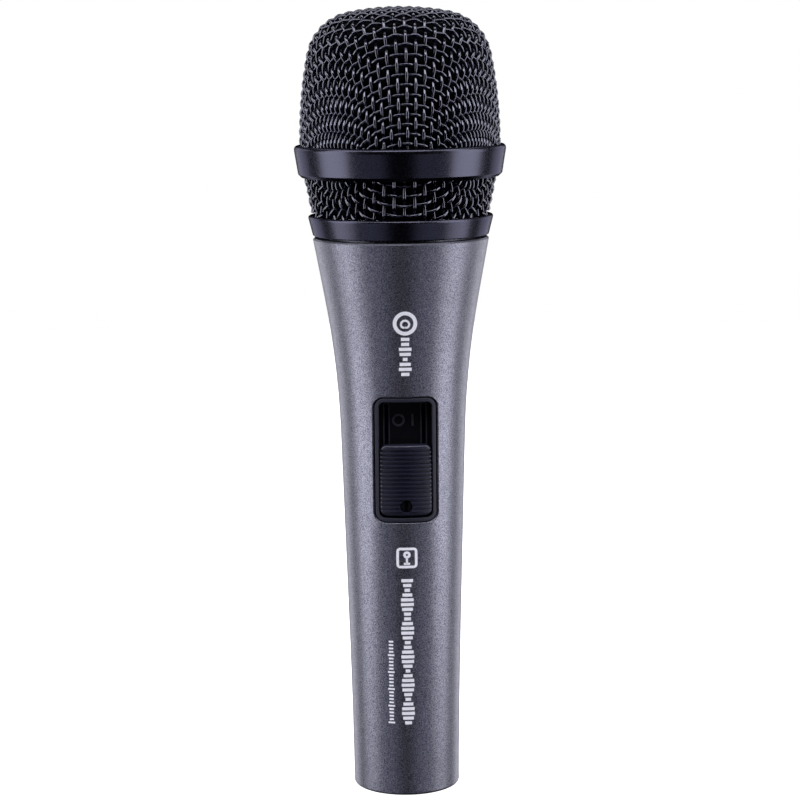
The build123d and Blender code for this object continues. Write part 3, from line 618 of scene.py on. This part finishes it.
def handle_paint():
    """Anthracite metallic lacquer: fine flakes that catch the light, in a satin coat."""
    shader = Shader("handle_paint", Metallic=0.8, Coat_Weight=0.08, Coat_Roughness=0.35)
    flakes = shader.noise(4200, detail=2.0, roughness=0.75)
    cloud = shader.noise(700, detail=3.0)
    colour = shader.ramp(flakes, (0.040, 0.040, 0.060), (0.232, 0.232, 0.258), 0.36, 0.66)
    shader.link(colour, "Base Color")
    shader.link(shader.span(cloud, 0.35, 0.43, 0.3, 0.7), "Roughness")
    shader.bump(flakes, 0.011 * MM, 0.7)
    return shader.material


def ring_lacquer():
    """Satin blue-black finish on the basket's two metal rings, dark at a glancing angle."""
    shader = Shader("ring_lacquer", Metallic=1.0, Specular_Tint=(0.57, 0.57, 0.62, 1))
    mottle = shader.noise(1600, detail=4.0)
    colour = shader.ramp(mottle, (0.038, 0.038, 0.050), (0.043, 0.043, 0.057), 0.3, 0.7)
    shader.link(colour, "Base Color")
    shader.link(shader.span(mottle, 0.24, 0.30, 0.3, 0.7), "Roughness")
    shader.bump(mottle, 0.003 * MM, 0.5)
    return shader.material


def wire_lacquer():
    """Black lacquer on the wires, a little thicker in places."""
    shader = Shader("wire_lacquer", Metallic=0.0, IOR=1.75, Specular_Tint=(0.85, 0.87, 1.0, 1))
    runs = shader.noise(2600, detail=3.0)
    colour = shader.ramp(runs, (0.0005, 0.0005, 0.003), (0.002, 0.002, 0.006), 0.3, 0.7)
    shader.link(colour, "Base Color")
    shader.link(shader.span(runs, 0.08, 0.12, 0.3, 0.7), "Roughness")
    shader.bump(runs, 0.004 * MM, 0.5)
    return shader.material


def moulded_plastic(name, colour, roughness):
    """Moulded plastic with a fine grain."""
    shader = Shader(name)
    texture = shader.noise(4200, detail=3.0)
    darker = tuple(c * 0.8 for c in colour)
    lighter = tuple(min(1.0, c * 1.15 + 0.002) for c in colour)
    shader.link(shader.ramp(texture, darker, lighter, 0.3, 0.7), "Base Color")
    shader.link(shader.span(texture, roughness - 0.06, roughness + 0.08, 0.3, 0.7), "Roughness")
    shader.bump(texture, GRAIN_DEPTH, 0.6)
    return shader.material


def tray_plastic():
    """Black plastic, with painted shade that darkens the recess and a painted highlight that lightens
    its raised rim and guide lips.
    """
    shader = Shader("tray_plastic", Specular_IOR_Level=0.2)
    texture = shader.noise(4200, detail=3.0)
    place = shader.add("ShaderNodeSeparateXYZ", {"Vector": shader.place()}).outputs
    along = shader.calculate("ABSOLUTE", shader.calculate("SUBTRACT", place["Z"], TRAY_MIDDLE_Z))
    across = shader.calculate("ABSOLUTE", place["X"])
    beside = shader.calculate("GREATER_THAN", across, TRAY_MIDDLE_HALF[0])
    beyond = shader.calculate("GREATER_THAN", along, TRAY_MIDDLE_HALF[1])
    raised = shader.calculate("LESS_THAN", place["Y"], -TRAY_LIP_DEPTH)
    painted_highlight_mask = shader.calculate("MULTIPLY", raised, shader.calculate("MAXIMUM", beside, beyond))
    level = shader.calculate("MULTIPLY", painted_highlight_mask, shader.span(texture, 0.7, 1.0, 0.3, 0.7))
    # Painted light: the raised rim and guide lips are painted lighter as a highlight, and the recess is
    # painted darker as shade.
    highlight_and_shade_colour = shader.ramp(level, (0.0010, 0.0010, 0.0020), (0.022, 0.022, 0.033))
    shader.link(highlight_and_shade_colour, "Base Color")
    shader.link(shader.span(texture, 0.38, 0.5, 0.3, 0.7), "Roughness")
    shader.bump(texture, GRAIN_DEPTH, 0.6)
    return shader.material


def plain_metal(name, colour, roughness):
    """Turned or plated metal with faint tool marks around the axis."""
    shader = Shader(name, Metallic=1.0)
    scratches = shader.add("ShaderNodeMapping", {"Vector": shader.place(), "Scale": (1, 1, 14)})
    marks = shader.noise(1500, detail=4.0, place=scratches.outputs["Vector"])
    darker = tuple(c * 0.82 for c in colour)
    shader.link(shader.ramp(marks, darker, colour, 0.3, 0.7), "Base Color")
    shader.link(shader.span(marks, roughness - 0.07, roughness + 0.08, 0.3, 0.7), "Roughness")
    shader.bump(marks, 0.006 * MM, 0.5)
    return shader.material


def wound_copper():
    """Enamelled copper wire in tight turns around the axis."""
    shader = Shader("coil_copper", Metallic=0.9)
    turns = shader.add(
        "ShaderNodeTexWave",
        {"Vector": shader.place(), "Scale": 2600.0, "Distortion": 0.4, "Detail": 1.0},
        wave_type="BANDS",
        bands_direction="Z",
    )
    height = turns.outputs["Fac"]
    shader.link(shader.ramp(height, (0.25, 0.07, 0.02), (0.72, 0.28, 0.11), 0.1, 0.8), "Base Color")
    shader.link(shader.span(height, 0.42, 0.28), "Roughness")
    shader.bump(height, 0.04 * MM, 0.8)
    return shader.material


def open_foam():
    """Black open-cell foam."""
    shader = Shader("foam_black", Roughness=0.95, Specular_IOR_Level=0.04)
    cells = shader.add("ShaderNodeTexVoronoi", {"Vector": shader.place(), "Scale": 1900.0})
    pores = cells.outputs["Distance"]
    colour = shader.ramp(pores, (0.0004, 0.0004, 0.0005), (0.0025, 0.0025, 0.003), 0.1, 0.6)
    shader.link(colour, "Base Color")
    shader.bump(pores, 0.15 * MM, 0.9)
    return shader.material


def felt_cloth():
    """Grey acoustic felt."""
    shader = Shader("felt_cloth", Roughness=0.95, Sheen_Weight=0.3)
    fibres = shader.noise(6000, detail=6.0, roughness=0.7)
    shader.link(shader.ramp(fibres, (0.03, 0.03, 0.03), (0.10, 0.10, 0.10), 0.3, 0.7), "Base Color")
    shader.bump(fibres, 0.06 * MM, 0.8)
    return shader.material


def diaphragm_film():
    """Clear polyester film, pressed thin."""
    shader = Shader("diaphragm_film", Transmission_Weight=0.7, IOR=1.5)
    texture = shader.noise(900, detail=2.0)
    shader.link(shader.ramp(texture, (0.75, 0.68, 0.48), (0.85, 0.80, 0.62)), "Base Color")
    shader.link(shader.span(texture, 0.12, 0.2), "Roughness")
    return shader.material


def print_ink():
    """White printing ink, a little uneven."""
    shader = Shader("print_ink", Specular_IOR_Level=0.4)
    grain = shader.noise(7000, detail=3.0)
    shader.link(shader.ramp(grain, (0.82, 0.82, 0.84), (0.95, 0.95, 0.96), 0.3, 0.6), "Base Color")
    shader.link(shader.span(grain, 0.45, 0.6), "Roughness")
    shader.bump(grain, 0.004 * MM, 0.5)
    return shader.material


def all_materials():
    """One detailed material for each of the record's slots, and two for the marks."""
    black = (0.012, 0.012, 0.015)
    return {
        "handle_paint": handle_paint(),
        "ring_lacquer": ring_lacquer(),
        "wire_lacquer": wire_lacquer(),
        "foam_black": open_foam(),
        "felt_cloth": felt_cloth(),
        "coil_copper": wound_copper(),
        "diaphragm_film": diaphragm_film(),
        "print_ink": print_ink(),
        "switch_plastic": moulded_plastic("switch_plastic", (0.009, 0.009, 0.021), 0.36),
        "tray_plastic": tray_plastic(),
        # The switch symbols are painted lighter than the painted-dark recess floor, a painted highlight
        # standing in for the light on their raised edges.
        "tray_symbols": moulded_plastic("tray_symbols", (0.02, 0.02, 0.03), 0.4),
        "insert_plastic": moulded_plastic("insert_plastic", black, 0.5),
        "capsule_plastic": moulded_plastic("capsule_plastic", (0.03, 0.03, 0.032), 0.5),
        "chamber_plastic": moulded_plastic("chamber_plastic", (0.04, 0.04, 0.045), 0.5),
        "carriage_plastic": moulded_plastic("carriage_plastic", (0.72, 0.70, 0.64), 0.4),
        "bobbin_plastic": moulded_plastic("bobbin_plastic", (0.66, 0.61, 0.50), 0.4),
        "circuit_board": moulded_plastic("circuit_board", (0.010, 0.018, 0.013), 0.3),
        "shock_rubber": moulded_plastic("shock_rubber", (0.02, 0.02, 0.02), 0.7),
        "lead_red": moulded_plastic("lead_red", (0.45, 0.02, 0.02), 0.35),
        "lead_black": moulded_plastic("lead_black", (0.015, 0.015, 0.015), 0.35),
        "lead_bare": moulded_plastic("lead_bare", (0.55, 0.55, 0.53), 0.35),
        "carrier_metal": plain_metal("carrier_metal", (0.60, 0.60, 0.62), 0.35),
        "contact_plating": plain_metal("contact_plating", (0.80, 0.58, 0.26), 0.25),
        "screw_steel": plain_metal("screw_steel", (0.48, 0.48, 0.50), 0.3),
        "pin_metal": plain_metal("pin_metal", (0.72, 0.71, 0.69), 0.2),
        "magnet_steel": plain_metal("magnet_steel", (0.42, 0.42, 0.44), 0.35),
        "magnet_nickel": plain_metal("magnet_nickel", (0.66, 0.65, 0.63), 0.2),
    }


def dress(piece, material):
    """Gives a piece one material all over."""
    piece.data.materials.clear()
    piece.data.materials.append(material)


def dress_frame(materials):
    """Every CAD piece takes the detailed material of its slot."""
    for name, node in frame["nodes"].items():
        dress(node, materials[node_slots[name]])


# ---- Camera, light and floor ----


def make_camera():
    """A long lens in front of the switch, near the basket's height and a little to one side."""
    data = bpy.data.cameras.new("camera")
    data.lens = CAMERA_LENS_MM
    data.sensor_width = 36.0
    camera = bpy.data.objects.new("camera", data)
    bpy.context.scene.collection.objects.link(camera)
    place = Matrix.Translation(CAMERA_PLACE)
    aim = Matrix.Rotation(math.pi / 2 - CAMERA_DIP, 4, "X") @ Matrix.Rotation(CAMERA_ROLL, 4, "Z")
    camera.matrix_world = VIEW_TURN @ place @ aim
    bpy.context.scene.camera = camera


def make_area(name, place, width, height, power, colour):
    """A rectangular soft box at a place, aimed at the microphone and not seen itself."""
    data = bpy.data.lights.new(name, "AREA")
    data.shape = "RECTANGLE"
    data.size, data.size_y = width, height
    data.energy = power
    data.color = colour
    light = bpy.data.objects.new(name, data)
    bpy.context.scene.collection.objects.link(light)
    turn = (Vector(LIGHTS_AIM) - Vector(place)).to_track_quat("-Z", "Y").to_matrix().to_4x4()
    light.matrix_world = VIEW_TURN @ Matrix.Translation(place) @ turn
    light.visible_camera = False


def make_lights():
    """Soft boxes beside, behind, above and low in front on both sides, and two overhead."""
    cool = (0.91, 0.91, 1.0)
    blue = (0.72, 0.74, 1.0)
    for name, side in (("left", -1), ("right", 1)):
        make_area(f"side_{name}", (side * 0.585, -0.115, 0.14), 0.42, 0.66, 4.2, cool)
        make_area(f"rim_{name}", (side * 0.44, 0.50, 0.05), 0.40, 0.70, 1.65, cool)
        make_area(f"top_{name}", (side * 0.55, -0.14, 0.74), 0.45, 0.30, 2.6, cool)
        make_area(f"fill_{name}", (side * 0.46, -0.64, -0.25), 0.50, 0.12, 0.38, blue)
    make_area("top_front", (0, -0.45, 0.80), 0.8, 0.30, 5.6, cool)
    make_area("top_back", (0, 0.40, 0.75), 0.9, 0.30, 2.4, cool)


def make_surroundings():
    """A white sky that only the camera sees, and a pale floor that melts into it."""
    world = bpy.data.worlds.new("studio")
    bpy.context.scene.world = world
    world.use_nodes = True
    sky = world.node_tree.nodes["Background"]
    sky.inputs["Color"].default_value = (1, 1, 1, 1)
    sky.inputs["Strength"].default_value = 1.0
    world.cycles_visibility.diffuse = False
    world.cycles_visibility.glossy = False
    world.cycles_visibility.transmission = False
    world.cycles_visibility.scatter = False
    bpy.context.scene.view_settings.view_transform = "Standard"

    segments = 96
    turns = np.arange(segments) * math.tau / segments
    rim = [(FLOOR_R * math.cos(a), FLOOR_R * math.sin(a), -FLOOR_GAP) for a in turns]
    floor = new_object("floor", rim, [list(range(segments))], smooth=False)
    shader = Shader("floor_white", Roughness=0.9, Emission_Strength=0.95)
    shader.surface.inputs["Emission Color"].default_value = (1, 1, 1, 1)
    cloud = shader.noise(12, detail=2.0)
    shader.link(shader.ramp(cloud, (0.80, 0.80, 0.80), (0.84, 0.84, 0.84)), "Base Color")
    dress(floor, shader.material)
    floor.visible_diffuse = False
    floor.visible_glossy = False
    floor.visible_shadow = False


# ---- The microphone ----


def stand_in(piece, node, body, materials):
    """Hangs a piece on its body in place of a CAD node, in that node's material."""
    slot = node_slots[node]
    dress(piece, materials[slot])
    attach(piece, body)
    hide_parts(node)


def make_dome(materials):
    """The upper stretch of woven wire, laid over the dome."""
    low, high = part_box("grille_dome")
    surface = Meridian(dome_outline(2 * WIRE_R, low.z))
    cloth = cloth_over(surface, DOME_CLOTH_SLACK, DOME_CLOTH_EXTRA, DOME_CLOTH_EASE)
    crossings = cloth_crossings(surface, cloth, DOME_CLOTH_TURN)
    dome = woven_piece("grille_dome_wires", crossings, low.z + 2 * WIRE_R, high.z)
    stand_in(dome, "grille_dome", "grille", materials)


def make_band(materials):
    """The lower stretch of woven wire, laid over a bowl and cut off above its flat bottom."""
    low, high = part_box("grille_band")
    surface = Meridian(bowl_outline(2 * WIRE_R))
    crossings = cloth_crossings(surface, surface, 0.0)
    band = woven_piece("grille_band_wires", crossings, low.z + 2 * WIRE_R, high.z - 2 * WIRE_R)
    stand_in(band, "grille_band", "grille", materials)


def make_foam(materials):
    """The foam liner: a dome with a skirt, its cut surface rough with open cells."""
    low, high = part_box("foam_liner")
    dome_low, dome_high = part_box("grille_dome")
    rim_z = dome_low.z
    outer_inset = dome_high.x - high.x
    outer = dome_outline(outer_inset, rim_z)
    inner = dome_outline(outer_inset + FOAM_THICKNESS, rim_z)
    step = 0.5 * MM
    rim = (FOAM_RIM_R, rim_z)
    foot = (FOAM_FOOT_R, low.z)
    inner_foot = (FOAM_FOOT_INNER_R, low.z)
    skirt = joined(
        line_points(tuple(outer[-1]), rim, step),
        line_points(rim, FOAM_WAIST, step),
        line_points(FOAM_WAIST, foot, step),
        line_points(foot, inner_foot, step),
        line_points(inner_foot, tuple(inner[-1]), step),
    )
    outline = np.vstack([outer[::3], skirt, inner[::-3]])
    outline[:, 0] = np.maximum(outline[:, 0], FOAM_LEAST_R)
    foam = lathe("foam_liner_cells", outline, FOAM_SEGMENTS, FOAM_ROUGHNESS)
    stand_in(foam, "foam_liner", "foam_liner", materials)


def make_marks(materials):
    """White marks printed on the handle, and symbols moulded in the switch's recess."""
    handle = FrontFace("handle_shell")
    printed = {
        "mark_polar_pattern": polar_mark(POLAR_MARK_Z),
        "mark_short_bars": level_bars(*SHORT_BARS_Z, 1.14 * MM, half_width=1.45 * MM, waves=2.3),
        "mark_badge": badge(BADGE_Z),
        "mark_long_bars": level_bars(*LONG_BARS_Z, 1.12 * MM, half_width=1.5 * MM, waves=5.4),
        "mark_scale": tick_scale(SCALE_X, *SCALE_Z),
    }
    for name, strokes in printed.items():
        piece = marks(name, handle, strokes, INK_HEIGHT, INK_DEPTH)
        dress(piece, materials["print_ink"])
        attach(piece, "handle")
    tray = FrontFace("switch_tray")
    strokes = switch_symbols(SWITCH_SYMBOL_Z)
    symbols = marks("switch_symbols", tray, strokes, SYMBOL_HEIGHT, SYMBOL_DEPTH)
    dress(symbols, materials["tray_symbols"])
    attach(symbols, "handle")


make_camera()
make_lights()
make_surroundings()
materials = all_materials()
dress_frame(materials)
make_dome(materials)
make_band(materials)
make_foam(materials)
make_marks(materials)
